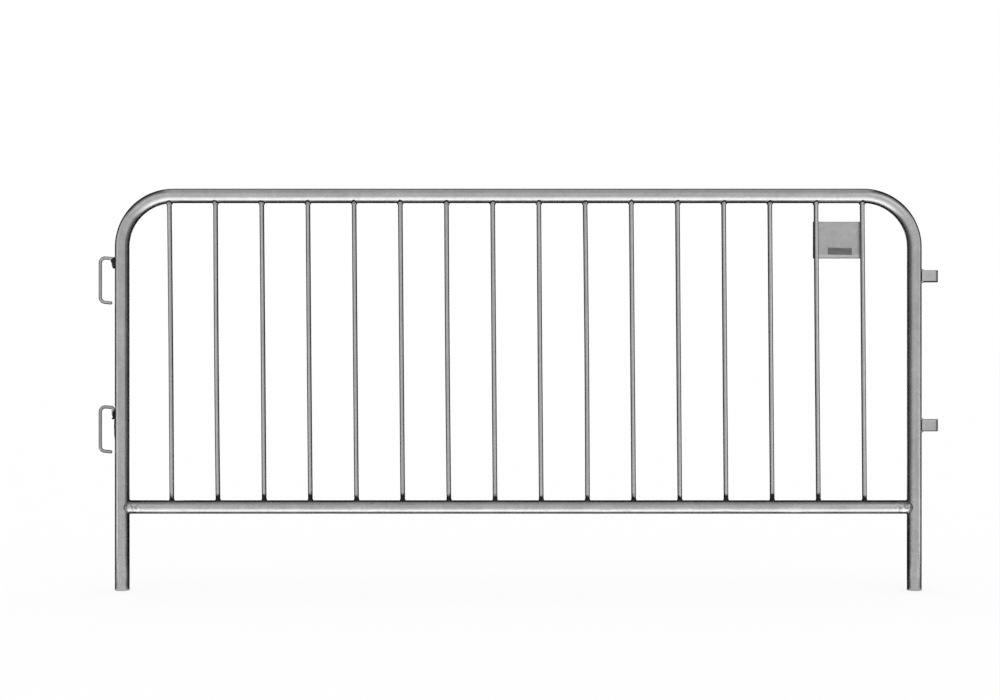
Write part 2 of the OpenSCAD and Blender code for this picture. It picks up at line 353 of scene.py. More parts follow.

# Infill bars
# Sixteen slim tubes stand between the rails, each cut at both ends to seat on the round of the rails.
# They all lean a little to the left, each bows slightly left or right, and their feet are darker.
bar_nodes = sorted(n for n in frame["nodes"] if n.startswith("infill_bar_"))
bar_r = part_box(bar_nodes[0])[1].y
bar_foot_z = rail_z + rail_r
bar_foot_x = np.array([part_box(n)[1].x - bar_r for n in bar_nodes])
bar_lean = np.array([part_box(n)[0].x + bar_r for n in bar_nodes]) - bar_foot_x
bar_slope = bar_lean.mean() / (top_z - tube_r - bar_foot_z)
bow_spread = 0.0004
bar_bow = np.random.default_rng(3).normal(0, bow_spread, len(bar_nodes))
bar_wall = 0.0015
bar_sides = 32
bar_steps = 60
dark_foot_height = 0.012
dark_foot_fade = 0.007


def shade_across(material, place, axis, full_at, clear_at, ragged, share, front_only=False):
    """Multiplies a coat's colour along one axis of its Object or UV coordinates: by share at full_at,
    and by 1 from clear_at on. Noise moves the edge to and fro by up to half of ragged.
    With front_only, a surface whose normal points back keeps its colour."""
    tree = material.node_tree
    base = tree.nodes["Principled BSDF"].inputs["Base Color"]
    coat = base.links[0].from_socket
    where = add_node(tree, "ShaderNodeTexCoord")
    split = add_node(tree, "ShaderNodeSeparateXYZ", {"Vector": where.outputs[place]})
    wander = add_node(tree, "ShaderNodeTexNoise", {
        "Vector": where.outputs["Object"], "Scale": 60.0, "Detail": 2.0})
    edge = calc(tree, "MULTIPLY_ADD", wander.outputs["Fac"], ragged, split.outputs[axis])
    factor = add_node(tree, "ShaderNodeMapRange", {
        "Value": edge, "From Min": full_at + ragged / 2, "From Max": clear_at + ragged / 2,
        "To Min": share, "To Max": 1.0})
    if front_only:
        turned = add_node(tree, "ShaderNodeSeparateXYZ", {"Vector": where.outputs["Normal"]})
        factor = add_node(tree, "ShaderNodeMapRange", {
            "Value": turned.outputs["Y"], "From Min": 0.0, "From Max": 0.2,
            "To Min": factor.outputs["Result"], "To Max": 1.0})
    shaded = add_node(tree, "ShaderNodeVectorMath", {
        0: coat, "Scale": factor.outputs["Result"]}, operation="SCALE")
    tree.links.new(shaded.outputs["Vector"], base)


bar_zinc = zinc_coat("bar_zinc", tone=0.37, roughness=0.26, streaks=0.30, spangle=0.06, pits=0.45)
# The bars' colour is darkened over a short stretch just above the rail.
dark_foot_z = bar_foot_z + dark_foot_height
shade_across(bar_zinc, "Object", "Z", dark_foot_z, dark_foot_z + dark_foot_fade, ragged=0.030, share=0.05)


def frame_height(x):
    """Height of the frame's centre line over x: the top rail, then the quarter circles of the bends."""
    past = np.clip(np.abs(x) - bend_x, 0, bend_r)
    return bend_z + np.sqrt(bend_r ** 2 - past ** 2)


def bar_middle(foot, z):
    """Place of a leaning bar's centre line at height z."""
    return foot + bar_slope * (z - bar_foot_z)


def bar_rings(foot, bow, radius):
    """Bar wall from the rail's saddle z = rail_z + sqrt(rail_r^2 - y^2) up to the frame's saddle.
    The centre line leans by bar_slope and bows by half a sine wave."""
    a = round_angles(bar_sides)
    y = radius * np.sin(a)
    low = rail_z + np.sqrt(rail_r ** 2 - y ** 2)
    high = frame_height(bar_middle(foot, top_z) + radius * np.cos(a)) - np.sqrt(tube_r ** 2 - y ** 2)
    share = np.linspace(0, 1, bar_steps)[:, None]
    z = low + share * (high - low)
    x = bar_middle(foot, z) + bow * np.sin(math.pi * share) + radius * np.cos(a)
    return np.stack([x, y + 0 * z, z], -1)


for number, (node, foot, bow) in enumerate(zip(bar_nodes, bar_foot_x, bar_bow), 1):
    wall = np.concatenate([bar_rings(foot, bow, bar_r), bar_rings(foot, bow, bar_r - bar_wall)[::-1]])
    make_piece(f"bar_{number:02d}", [wall], bar_zinc, [node])

# Welds of the bars
# A bead of weld runs round both ends of every bar and fills the corner between the bar and the round rail.
# At the top it licks up the front and back of the rail as a rounded tongue, with painted shade along its rim
# on the rail.
# The beads at the feet are near black.
weld_rng = np.random.default_rng(16)
collar_sides = 72
collar_steps = 8
top_side_leg, top_front_leg = 0.0026, 0.0098
foot_side_leg, foot_front_leg = 0.0012, 0.0045
tongue = 3
collar_height = 0.0042
collar_bulge = 0.9
collar_leg_lumps, collar_rise_lumps, crown_lumps = 0.12, 0.30, 0.5
ripple_count = 13
ripple_share = 0.6
ripple_mean = 0.6
sunk = 0.0008


def two_tones(tree, value, dark_at, dark, pale_at, pale):
    """A grey that runs from dark, where the value is dark_at, to pale, where it is pale_at."""
    tones = add_node(tree, "ShaderNodeValToRGB", {"Fac": value})
    for step, at, tone in zip(tones.color_ramp.elements, (dark_at, pale_at), (dark, pale)):
        step.position = at
        step.color = (tone, tone, tone, 1)
    return tones.outputs["Color"]


def weld_metal(name, dark, pale):
    """Weld metal, duller than the tube and mottled between two tones, with fine spatter."""
    material, tree, shader = new_material(name)
    place = add_node(tree, "ShaderNodeTexCoord")
    soot = add_node(tree, "ShaderNodeTexNoise", {
        "Vector": place.outputs["Object"], "Scale": 160.0, "Detail": 4.0, "Roughness": 0.65})
    spatter = add_node(tree, "ShaderNodeTexVoronoi", {"Vector": place.outputs["Object"], "Scale": 620.0})
    colour = two_tones(tree, soot.outputs["Fac"], 0.34, dark, 0.66, pale)
    dull = add_node(tree, "ShaderNodeMapRange", {
        "Value": soot.outputs["Fac"], "From Min": 0.3, "From Max": 0.7, "To Min": 0.62, "To Max": 0.42})
    relief = calc(tree, "MULTIPLY_ADD", spatter.outputs["Distance"], 0.5, soot.outputs["Fac"])
    bump = add_node(tree, "ShaderNodeBump", {"Height": relief, "Strength": 0.35, "Distance": 0.0008})
    bloom_behind(tree, place, shader)
    tree.links.new(colour, shader.inputs["Base Color"])
    tree.links.new(dull.outputs["Result"], shader.inputs["Roughness"])
    tree.links.new(bump.outputs["Normal"], shader.inputs["Normal"])
    return material


top_weld = weld_metal("top_weld", dark=0.28, pale=0.42)
# Painted shade along the bead's rim where it meets the rail.
shade_across(top_weld, "UV", "X", full_at=0.0052, clear_at=0.0040, ragged=0.001, share=0.06)
foot_weld = weld_metal("foot_weld", dark=0.02, pale=0.08)


def lumps(angles, depth):
    """Uneven swelling round a bead: three waves of random phase and a row of ripples, about a mean of 1."""
    waves = np.array([2, 3, 5])[:, None]
    phase = weld_rng.uniform(0, 2 * math.pi, (3, 1))
    swell = np.sin(waves * angles + phase).mean(0)
    ripple = np.abs(np.sin(ripple_count * angles / 2 + phase[0]))
    return 1 + depth * (swell + ripple_share * (ripple - ripple_mean))


def bar_collar(centre, height, radius, down, side_leg, front_leg):
    """Weld round one end of a bar, where the bar meets a rail of that radius and centre height.
    Its skin is a curve from a toe on the bar to a toe on the rail, pushed out from the corner between them.
    The rail's surface is at z = height + down sqrt(radius^2 - y^2): down is -1 below it and 1 above it."""
    a = round_angles(collar_sides)
    leg = side_leg + (front_leg - side_leg) * np.abs(np.sin(a)) ** tongue
    leg = leg * lumps(a, collar_leg_lumps)
    rise = collar_height * lumps(a, collar_rise_lumps)

    def on_rail(reach, lift):
        y = reach * np.sin(a)
        x = centre + reach * np.cos(a)
        return np.stack([x, y, height(x) + down * (np.sqrt(radius ** 2 - y ** 2) + lift)], -1)

    bar_toe = on_rail(bar_r - sunk / 2, rise)
    rail_toe = on_rail(bar_r + leg, -sunk / 2)
    corner = on_rail(bar_r, 0)
    buried = on_rail(bar_r - sunk, -sunk)
    middle = (bar_toe + rail_toe) / 2
    pushed = middle + collar_bulge * (middle - corner) * lumps(a, crown_lumps)[:, None]
    t = np.linspace(0, 1, collar_steps)[:, None, None]
    skin = bar_toe * (1 - t) ** 2 + 2 * t * (1 - t) * pushed + rail_toe * t ** 2
    return np.concatenate([skin, buried[None]])


def rail_height(x):
    """Height of the bottom rail's centre line, the same all along."""
    return rail_z + 0 * x


bar_top_x = bar_middle(bar_foot_x, top_z - tube_r)
top_beads = [bar_collar(x, frame_height, tube_r, -1, top_side_leg, top_front_leg) for x in bar_top_x]
foot_beads = [bar_collar(x, rail_height, rail_r, 1, foot_side_leg, foot_front_leg) for x in bar_foot_x]
make_piece("bar_top_beads", top_beads, top_weld, ["bar_top_welds"], sharp=60)
make_piece("bar_foot_beads", foot_beads, foot_weld, ["bar_bottom_welds"], sharp=60)

# Welds of the bottom rail
# A bead follows the saddle cut at each end of the rail, over the leg on one side and the rail on the other.
# It is widest on the front and the back, with painted shade along its rim on the leg.
rail_bead_leg = 0.0020
rail_bead_front_leg = 0.0088
rail_bead_on_leg = 0.0010
rail_bead_crown = 0.0022
rail_bead_flat = 0.0199
rail_bead_lumps = 0.3
rail_bead_sides = 120
seam_weld = weld_metal("seam_weld", dark=0.07, pale=0.24)
# Painted shade along the bead's rim on the leg.
shade_across(seam_weld, "UV", "X", full_at=0.0014, clear_at=0.0026, ragged=0.001, share=0.10)


def rail_bead(side):
    """Bead along the saddle. On the leg, unrolled flat, the saddle is (R asin(r cos a / R), r sin a),
    and the leg's toe lies off it along its normal there. The rail's toe lies off it along the rail.
    The skin between the toes is pushed out halfway between the normals of the leg and of the rail,
    and stays behind the leg's own front and back."""
    a = round_angles(rail_bead_sides)
    unrolled = np.stack([tube_r * np.arcsin(rail_r * np.cos(a) / tube_r), rail_r * np.sin(a)], -1)
    tangent = np.roll(unrolled, -1, 0) - np.roll(unrolled, 1, 0)
    normal = np.stack([tangent[:, 1], -tangent[:, 0]], -1)
    normal /= np.linalg.norm(normal, axis=1, keepdims=True)

    def on_leg(off, lift):
        arc, z = (unrolled + normal * np.reshape(off, (-1, 1))).T
        reach = tube_r + lift
        return np.stack([leg_x - reach * np.cos(arc / tube_r), reach * np.sin(arc / tube_r), rail_z + z], -1)

    def on_rail(off, lift):
        reach = rail_r + lift
        x = leg_x - np.sqrt(tube_r ** 2 - (rail_r * np.cos(a)) ** 2) - off
        return np.stack([x, reach * np.cos(a), rail_z + reach * np.sin(a)], -1)

    leg_toe = on_leg(rail_bead_on_leg * lumps(a, rail_bead_lumps), -sunk / 2)
    along_rail = rail_bead_leg + (rail_bead_front_leg - rail_bead_leg) * np.cos(a) ** 2
    rail_toe = on_rail(along_rail * lumps(a, rail_bead_lumps), -sunk / 2)
    buried = on_leg(np.zeros_like(a), -sunk)
    turn = unrolled[:, 0] / tube_r
    outward = np.stack([-np.cos(turn), np.sin(turn) + np.cos(a), np.sin(a)], -1)
    outward /= np.linalg.norm(outward, axis=1, keepdims=True)
    pushed = (leg_toe + rail_toe) / 2 + rail_bead_crown * outward * lumps(a, crown_lumps)[:, None]
    t = np.linspace(0, 1, collar_steps)[:, None, None]
    skin = leg_toe * (1 - t) ** 2 + 2 * t * (1 - t) * pushed + rail_toe * t ** 2
    skin[..., 1] = np.clip(skin[..., 1], -rail_bead_flat, rail_bead_flat)
    return np.concatenate([skin, buried[None]]) * [side, 1, 1]


make_piece("rail_end_beads", [rail_bead(-1), rail_bead(1)], seam_weld, ["rail_end_welds"],
           sharp=60)

# Hooks
# Each is one piece of round rod: a tail along the left leg, an arm, an upright and a short return.
# Its arm and its return both droop a little towards the leg, and it drops into the eye of the next panel.
tail_bend_r = 0.007
arm_bend_r = 0.013
low_bend_r = 0.013
arm_drop = 0.0025
return_drop = 0.003
tail_length = 0.026
tip_gap = 0.007
rod_sides = 32
bend_steps = 14
rod_end_steps = 8
rod_zinc = zinc_coat("rod_zinc", tone=0.34, roughness=0.20, streaks=0.16, spangle=0.04, pits=0.35)


def rounded_line(corners, radii):
    """A line through corners, with each inner corner rounded to an arc of its own radius.
    An arc starts r tan(turn / 2) before the corner and turns about a centre r to the side."""
    corners = np.array(corners, float)
    steps = np.diff(corners, axis=0)
    way = steps / np.linalg.norm(steps, axis=1, keepdims=True)
    pieces = [corners[:1]]
    for corner, r, before, after in zip(corners[1:-1], radii, way[:-1], way[1:]):
        turn = math.atan2(before[0] * after[1] - before[1] * after[0], before @ after)
        left = np.array([-before[1], before[0]]) * math.copysign(1, turn)
        start = corner - before * r * math.tan(abs(turn) / 2)
        b = np.linspace(0, abs(turn), bend_steps)[:, None]
        pieces.append(start + before * r * np.sin(b) + left * r * (1 - np.cos(b)))
    pieces.append(corners[-1:])
    return np.concatenate(pieces)


def bent_rod(line, radius):
    """Round rod carried along a line in the panel's plane, with both ends rounded off.
    A ring at t past an end stands out r sin t and has radius r cos t, so the last one closes to a pole."""
    t = np.linspace(0, math.pi / 2, rod_end_steps)[1:, None]
    first = line[0] - line[1]
    last = line[-1] - line[-2]
    head = line[0] + first / np.linalg.norm(first) * radius * np.sin(t[::-1])
    tail = line[-1] + last / np.linalg.norm(last) * radius * np.sin(t)
    way = np.gradient(line, axis=0)
    way /= np.linalg.norm(way, axis=1, keepdims=True)
    way = np.concatenate([np.repeat(way[:1], len(t), 0), way, np.repeat(way[-1:], len(t), 0)])
    size = np.concatenate([radius * np.cos(t[::-1, 0]), np.full(len(line), radius), radius * np.cos(t[:, 0])])
    out = np.stack([-way[:, 1], way[:, 0]], 1)
    return carried_rings(np.concatenate([head, line, tail]), out, size, rod_sides)


for level in ("upper", "lower"):
    low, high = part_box(f"{level}_hook")
    rod_r = high.y
    arm_z, return_z = high.z - rod_r, low.z + rod_r
    upright_x, tail_x = low.x + rod_r, high.x - rod_r
    tip_x = -leg_x - tube_r - tip_gap - rod_r
    hook_line = rounded_line(
        [(tail_x, arm_z - tail_length + rod_r), (tail_x, arm_z - arm_drop), (upright_x, arm_z),
         (upright_x, return_z + return_drop), (tip_x, return_z)], [tail_bend_r, arm_bend_r, low_bend_r])
    make_piece(f"{level}_rod_hook", [bent_rod(hook_line, rod_r)], rod_zinc, [f"{level}_hook"],
               close_rows=False)

# Welds of the hooks
# Rough near-black beads fill the grooves and the corner between the tail, the arm and the leg.
# The lower one runs on down the leg and has a drop of spatter on it.
blob_rows = 17
blob_sides = 24
blob_swell = 0.07
groove_x, groove_y, groove_drop = 0.0030, 0.0050, 0.0020
groove_size = (0.0044, 0.0040)
arm_lump, arm_lump_size = (-0.0012, 0.0022, -0.0085), (0.0054, 0.0042, 0.0075)
leg_lump, leg_lump_size = (0.0034, 0.0, -0.0016), (0.0040, 0.0050, 0.0040)
end_lump, end_lump_size = (0.0014, 0.0, -tail_length), (0.0040, 0.0048, 0.0042)
run_lumps = [
    ((0.0006, -0.002, -0.056), (0.0026, 0.0034, 0.034)),
    ((-0.0052, -0.002, -0.0325), (0.0030, 0.0030, 0.0030)),
    ((-0.0022, -0.002, -0.0320), (0.0034, 0.0022, 0.0024)),
]
dark_hook_weld = weld_metal("dark_hook_weld", dark=0.010, pale=0.055)


def weld_blob(centre, size):
    """A lump of weld: an ellipsoid whose reach swells and sinks with random waves over latitude and turn."""
    north = np.linspace(-math.pi / 2, math.pi / 2, blob_rows)[:, None]
    turn = round_angles(blob_sides)
    phase = weld_rng.uniform(0, 2 * math.pi, 4)
    swell = (np.sin(3 * turn + 4 * north + phase[0]) + np.sin(2 * turn - 5 * north + phase[1])
             + np.sin(9 * north + phase[2]) + np.sin(5 * turn + 7 * north + phase[3]))
    reach = 1 + blob_swell * swell * np.cos(north)
    x = reach * np.cos(north) * np.cos(turn)
    y = reach * np.cos(north) * np.sin(turn)
    z = np.sin(north) * (1 + 0 * turn)
    return np.array(centre) + np.stack([x, y, z], -1) * np.array(size)


def hook_blobs(level):
    """Weld on one hook's tail: a long lump in the front and the back groove and one at the tail's end.
    The upper hook also has two lumps in the corner under the arm and one between the bend and the leg.
    Places are measured from where the middle lines of the tail and the arm meet."""
    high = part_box(f"{level}_hook")[1]
    corner = np.array([high.x - high.y, 0, high.z - high.y])
    length = tail_length / 2 if level == "upper" else tail_length / 3
    groove_z = length - tail_length - groove_drop
    blobs = [weld_blob(corner + [groove_x, side * groove_y, groove_z], (*groove_size, length))
             for side in (-1, 1)]
    if level == "upper":
        blobs += [weld_blob(corner + np.array(arm_lump) * [1, side, 1], arm_lump_size) for side in (-1, 1)]
        blobs.append(weld_blob(corner + leg_lump, leg_lump_size))
    blobs.append(weld_blob(corner + end_lump, end_lump_size))
    return blobs


def lower_run():
    """Weld that runs on down the leg below the lower hook: a long thin lump,
    and two small ones that make a drop of spatter."""
    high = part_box("lower_hook")[1]
    corner = np.array([high.x, 0, high.z - high.y])
    return [weld_blob(corner + place, size) for place, size in run_lumps]


make_piece("hook_beads", hook_blobs("upper") + hook_blobs("lower") + lower_run(), dark_hook_weld, ["hook_welds"],
           close_rows=False, sharp=70)

# Eyes
# Each is a flat strap folded to a loop, with both ends butted on the right leg and tacked at the edges.
# The hook of the next panel drops through it, and painted shade darkens its lower edge and its bend.
strap_t = 0.005
strap_edge_r = 0.0014
edge_steps = 5
straight_rows = 7
loop_rows = 25
painted_shade_low = (0.0022, 0.0042)
painted_shade_bend = (0.0018, 0.0040)
eye_tack_in, eye_tack_up = 0.0008, 0.0006
eye_tack_size = (0.0038, 0.0038, 0.0034)
tack_weld = weld_metal("tack_weld", dark=0.26, pale=0.58)


def strap_section(width, thick):
    """Outline of the flat strap cut across: a rectangle with its four corners rounded to quarter circles."""
    b = np.linspace(0, math.pi / 2, edge_steps)
    turn = (b + np.arange(4)[:, None] * math.pi / 2).ravel()
    sign_x = np.repeat([1, -1, -1, 1], edge_steps)
    sign_z = np.repeat([1, 1, -1, -1], edge_steps)
    x = sign_x * (thick / 2 - strap_edge_r) + strap_edge_r * np.cos(turn)
    z = sign_z * (width / 2 - strap_edge_r) + strap_edge_r * np.sin(turn)
    return x, z


def strap_loop(low, high):
    """The strap's outline carried along its middle line: straight out, a half circle, and straight back.
    The first and last rows shrink to a point, which closes the two cut ends."""
    mid_r = high.y - strap_t / 2
    bend_at = high.x - high.y
    turn = np.linspace(-math.pi / 2, math.pi / 2, loop_rows)
    straight = np.linspace(low.x, bend_at, straight_rows + 1)[:-1]
    ones = np.ones(straight_rows)
    x = np.concatenate([straight, bend_at + mid_r * np.cos(turn), straight[::-1]])
    out_x = np.concatenate([0 * ones, np.cos(turn), 0 * ones])
    out_y = np.concatenate([-ones, np.sin(turn), ones])
    y = mid_r * out_y
    across, upright = strap_section(high.z - low.z, strap_t)
    size = np.ones(len(x))
    x, y, out_x, out_y, size = (np.concatenate([k[:1], k, k[-1:]]) for k in (x, y, out_x, out_y, size))
    size[[0, -1]] = 0
    px = x[:, None] + size[:, None] * across * out_x[:, None]
    py = y[:, None] + size[:, None] * across * out_y[:, None]
    pz = (low.z + high.z) / 2 + size[:, None] * upright
    return np.stack([px, py, pz], -1)


eye_blobs = []
for level, painted_shade_share in (("upper", 0.05), ("lower", 0.45)):
    low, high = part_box(f"{level}_eye")
    strap_zinc = zinc_coat(f"{level}_strap_zinc", tone=0.40, roughness=0.36, streaks=0.16, spangle=0.08,
                           pits=0.40)
    # Painted shade along each eye's lower edge and at its bend, deeper on the upper eye.
    shade_across(strap_zinc, "Object", "Z", low.z + painted_shade_low[0], low.z + painted_shade_low[1],
                 ragged=0.001, share=painted_shade_share)
    shade_across(strap_zinc, "Object", "X", high.x - painted_shade_bend[0], high.x - painted_shade_bend[1],
                 ragged=0.001, share=painted_shade_share)
    make_piece(f"{level}_strap_eye", [strap_loop(low, high)], strap_zinc, [f"{level}_eye"],
               close_rows=False)
    tack_y = high.y - strap_t / 2
    eye_blobs += [weld_blob((low.x + eye_tack_in, side * tack_y, z), eye_tack_size)
                  for side in (-1, 1) for z in (low.z + eye_tack_up, high.z - eye_tack_up)]
make_piece("eye_beads", eye_blobs, tack_weld, ["eye_welds"], close_rows=False, sharp=70)

# Plate
# A bare sheet of zinc-coated steel is tacked behind the last two bars, not quite flat. On its front
# the left edge has a painted shadow of the bar, a band along the bottom has a painted reflection that makes
# it paler, and the lower edge has painted shade.
plate_edge_r = 0.0008
plate_bow = 0.0003
sheet_steps_x, sheet_steps_z, rim_steps = 28, 22, 6
plate_tack_size = (0.0042, 0.0034, 0.0040)
plate_painted_light = [("X", 0.0080, 0.0095, 0.05), ("Z", 0.0090, 0.0115, 1.245), ("Z", 0.0020, 0.0034, 0.5)]
plate_zinc = zinc_coat("plate_zinc", tone=0.312, roughness=0.46, streaks=0.05, spangle=0.10, pits=0.30)


def sheet_grid(low, high, bow, edge_r):
    """A thin sheet with rounded edges, as a front and a back grid joined at the rim. Half its thickness
    falls off as a quarter circle within edge_r of an edge, and its middle bows by a cosine."""
    def spread(a, b, count):
        near = edge_r * (1 - np.cos(np.linspace(0, math.pi / 2, rim_steps)))
        return np.concatenate([a + near, np.linspace(a + edge_r, b - edge_r, count)[1:-1], b - near[::-1]])

    def rim(k, a, b):
        inside = np.clip(np.minimum(k - a, b - k) / edge_r, 0, 1)
        return np.sqrt(1 - (1 - inside) ** 2)

    x, z = spread(low.x, high.x, sheet_steps_x), spread(low.z, high.z, sheet_steps_z)
    half = (high.y - low.y) / 2 * rim(x, low.x, high.x)[:, None] * rim(z, low.z, high.z)
    share_x = (x - low.x) / (high.x - low.x) - 0.5
    share_z = (z - low.z) / (high.z - low.z) - 0.5
    middle = (low.y + high.y) / 2 + bow * np.cos(math.pi * share_x)[:, None] * np.cos(2 * math.pi * share_z)
    grid = [np.broadcast_to(x[:, None], half.shape), middle - half, np.broadcast_to(z, half.shape)]
    front = np.stack(grid, -1)
    grid[1] = middle + half
    back = np.stack(grid, -1)[:, ::-1]
    return np.concatenate([front, back], 1)


low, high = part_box("plate")
# Painted shadow at the left edge, painted reflection along the bottom band, painted shade on the lower edge.
for axis, full, clear, share in plate_painted_light:
    edge = {"X": low.x, "Z": low.z}[axis]
    shade_across(plate_zinc, "Object", axis, edge + full, edge + clear, ragged=0.0, share=share,
                 front_only=True)
make_piece("bare_plate", [sheet_grid(low, high, plate_bow, plate_edge_r)], plate_zinc, ["plate"],
           close_rows=False)
tacks = [weld_blob((bar_middle(foot, z), (low.y + high.y) / 2, z), plate_tack_size)
         for foot in bar_foot_x[-2:] for z in (low.z, high.z)]
make_piece("plate_tacks", tacks, tack_weld, ["plate_welds"], close_rows=False, sharp=70)

# Label strip
# A bare strip of grey film on the lower part of the plate, scuffed and dull, and stuck on a little askew.
strip_shift = (0.0022, -0.0017)
strip_turn = math.radians(1.2)
strip_trim = 0.0010
strip_edge_r = 0.0002
film_dark, film_pale = 0.080, 0.146


def grey_film():
    """Matt grey film with faint rub marks along it."""
    material, tree, shader = new_material("grey_film")
    place = add_node(tree, "ShaderNodeTexCoord")
    along = add_node(tree, "ShaderNodeMapping", {
        "Vector": place.outputs["Object"], "Scale": (20.0, 1.0, 260.0)})
    rub = add_node(tree, "ShaderNodeTexNoise", {
        "Vector": along.outputs["Vector"], "Scale": 1.0, "Detail": 4.0})
    colour = two_tones(tree, rub.outputs["Fac"], 0.3, film_dark, 0.7, film_pale)
    bump = add_node(tree, "ShaderNodeBump", {
        "Height": rub.outputs["Fac"], "Strength": 0.1, "Distance": 0.0003})
    shader.inputs["Roughness"].default_value = 0.6
    tree.links.new(colour, shader.inputs["Base Color"])
    tree.links.new(bump.outputs["Normal"], shader.inputs["Normal"])
    return material


def askew(grid, turn, shift):
    """Turns a grid clockwise in the panel's plane, seen from the front, about its middle, and shifts it."""
    middle = (grid.min((0, 1)) + grid.max((0, 1))) / 2
    x, y, z = np.moveaxis(grid - middle, -1, 0)
    turned = np.stack([x * np.cos(turn) + z * np.sin(turn), y, z * np.cos(turn) - x * np.sin(turn)], -1)
    return turned + middle + [shift[0], 0, shift[1]]


low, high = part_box("label_strip")
low.z += strip_trim
high.z -= strip_trim
strip = askew(sheet_grid(low, high, 0.0, strip_edge_r), strip_turn, strip_shift)
make_piece("bare_strip", [strip], grey_film(), ["label_strip"], close_rows=False)

# Studio
# A white floor in a white room. Cards stand round the panel where only reflections see them, as they do
# beside bright metal. Each card's brightness steps with the reach and the slope of the ray that sees it,
# which draws the stripes along the tubes.
floor_reach = 400.0
floor_glow = 0.72
floor_white = 0.985


def card(name, corners):
    """A flat four-cornered sheet of the set."""
    mesh = bpy.data.meshes.new(name)
    mesh.from_pydata(corners, [], [(0, 1, 2, 3)])
    made = bpy.data.objects.new(name, mesh)
    scene.collection.objects.link(made)
    return made


def floor_paint():
    """White floor. A share of it glows for the eye and for reflections.
    The rest is lit and takes the shadow."""
    material = bpy.data.materials.new("floor_paint")
    material.use_nodes = True
    material.cycles.emission_sampling = "NONE"
    tree = material.node_tree
    tree.nodes.clear()
    seen = add_node(tree, "ShaderNodeLightPath")
    either = calc(tree, "MAXIMUM", seen.outputs["Is Camera Ray"], seen.outputs["Is Glossy Ray"])
    through = calc(tree, "MAXIMUM", either, seen.outputs["Is Transmission Ray"])
    share = calc(tree, "MULTIPLY", through, floor_glow)
    lit = add_node(tree, "ShaderNodeBsdfDiffuse", {"Color": (floor_white, floor_white, floor_white, 1)})
    glow = add_node(tree, "ShaderNodeEmission", {"Strength": 1.0})
    both = add_node(tree, "ShaderNodeMixShader", {
        0: share, 1: lit.outputs["BSDF"], 2: glow.outputs["Emission"]})
    add_node(tree, "ShaderNodeOutputMaterial", {"Surface": both.outputs["Shader"]})
    return material


floor = card("floor", [(-floor_reach, -floor_reach, 0), (floor_reach, -floor_reach, 0),
                       (floor_reach, floor_reach, 0), (-floor_reach, floor_reach, 0)])
floor.data.materials.append(floor_paint())

world = bpy.data.worlds.new("room")
scene.world = world
world.use_nodes = True
world.node_tree.nodes["Background"].inputs["Color"].default_value = (1, 1, 1, 1)
world.node_tree.nodes["Background"].inputs["Strength"].default_value = 1.0

set_x = 9.0
set_front = -9.0
set_back = 12.0
set_top = 3.3
back_top = 3.6
above_end = 1.8
below_front = -12.0
below_end = 0.1
below_back = 3.5
below_z, below_behind_z = 0.002, 0.004
wall_x = 1.7
wall_front = -4.6
wall_end = 0.06
wall_foot = -0.2
wall_back_x = 3.2
dark_level = 0.004


def reflected_card(name, corners):
    """A dark card that only reflections see.
    Returns its node tree and the socket that sets its brightness."""
    made = card(name, corners)
    made.visible_camera = False
    made.visible_diffuse = False
    made.visible_shadow = False
    paint = bpy.data.materials.new(name)
    paint.use_nodes = True
    paint.cycles.emission_sampling = "NONE"
    made.data.materials.append(paint)
    tree = paint.node_tree
    tree.nodes.clear()
    glow = add_node(tree, "ShaderNodeEmission", {"Strength": dark_level})
    add_node(tree, "ShaderNodeOutputMaterial", {"Surface": glow.outputs["Emission"]})
    return tree, glow.inputs["Strength"]


def ray_path(tree):
    """Reach and slope of the ray that sees a card from the panel, and the height of the spot it sees.
    Reach is how far the ray runs sideways or up and down. The panel stands at y = 0, so the reach is
    sqrt(length^2 - y^2) and the slope is -y / length."""
    place = add_node(tree, "ShaderNodeTexCoord")
    split = add_node(tree, "ShaderNodeSeparateXYZ", {"Vector": place.outputs["Object"]})
    length = add_node(tree, "ShaderNodeLightPath").outputs["Ray Length"]
    minus_y = calc(tree, "MULTIPLY", split.outputs["Y"], -1.0)
    square = calc(tree, "MULTIPLY_ADD", minus_y, split.outputs["Y"], calc(tree, "POWER", length, 2.0))
    return calc(tree, "SQRT", square), calc(tree, "DIVIDE", minus_y, length), split.outputs["Z"]


def stepped(tree, value, stops):
    """A level that runs through stops, which pair a value with a level."""
    low, high = stops[0][0], stops[-1][0]
    peak = max(level for _, level in stops)
    share = add_node(tree, "ShaderNodeMapRange", {"Value": value, "From Min": low, "From Max": high})
    ramp = add_node(tree, "ShaderNodeValToRGB", {"Fac": share.outputs["Result"]})
    steps = ramp.color_ramp.elements
    for place, _ in stops[1:-1]:
        steps.new((place - low) / (high - low))
    for step, (place, level) in zip(steps, stops):
        step.position = (place - low) / (high - low)
        step.color = (level / peak, level / peak, level / peak, 1)
    return calc(tree, "MULTIPLY", ramp.outputs["Color"], peak)


def mixed(tree, share, full, none):
    """One level where share is 1, another where it is 0: none + share (full - none)."""
    return calc(tree, "MULTIPLY_ADD", calc(tree, "SUBTRACT", full, none), share, none)


def level_corners(near_y, far_y, z, far_z):
    """Corners of a wide card over or under the panel, level if far_z is z."""
    return [(-set_x, far_y, far_z), (set_x, far_y, far_z), (set_x, near_y, z), (-set_x, near_y, z)]


def wall_corners(x, near_y, far_x, far_y, top):
    """Corners of an upright card beside the panel, from (x, near_y) to (far_x, far_y)."""
    return [(far_x, far_y, wall_foot), (x, near_y, wall_foot), (x, near_y, top), (far_x, far_y, top)]


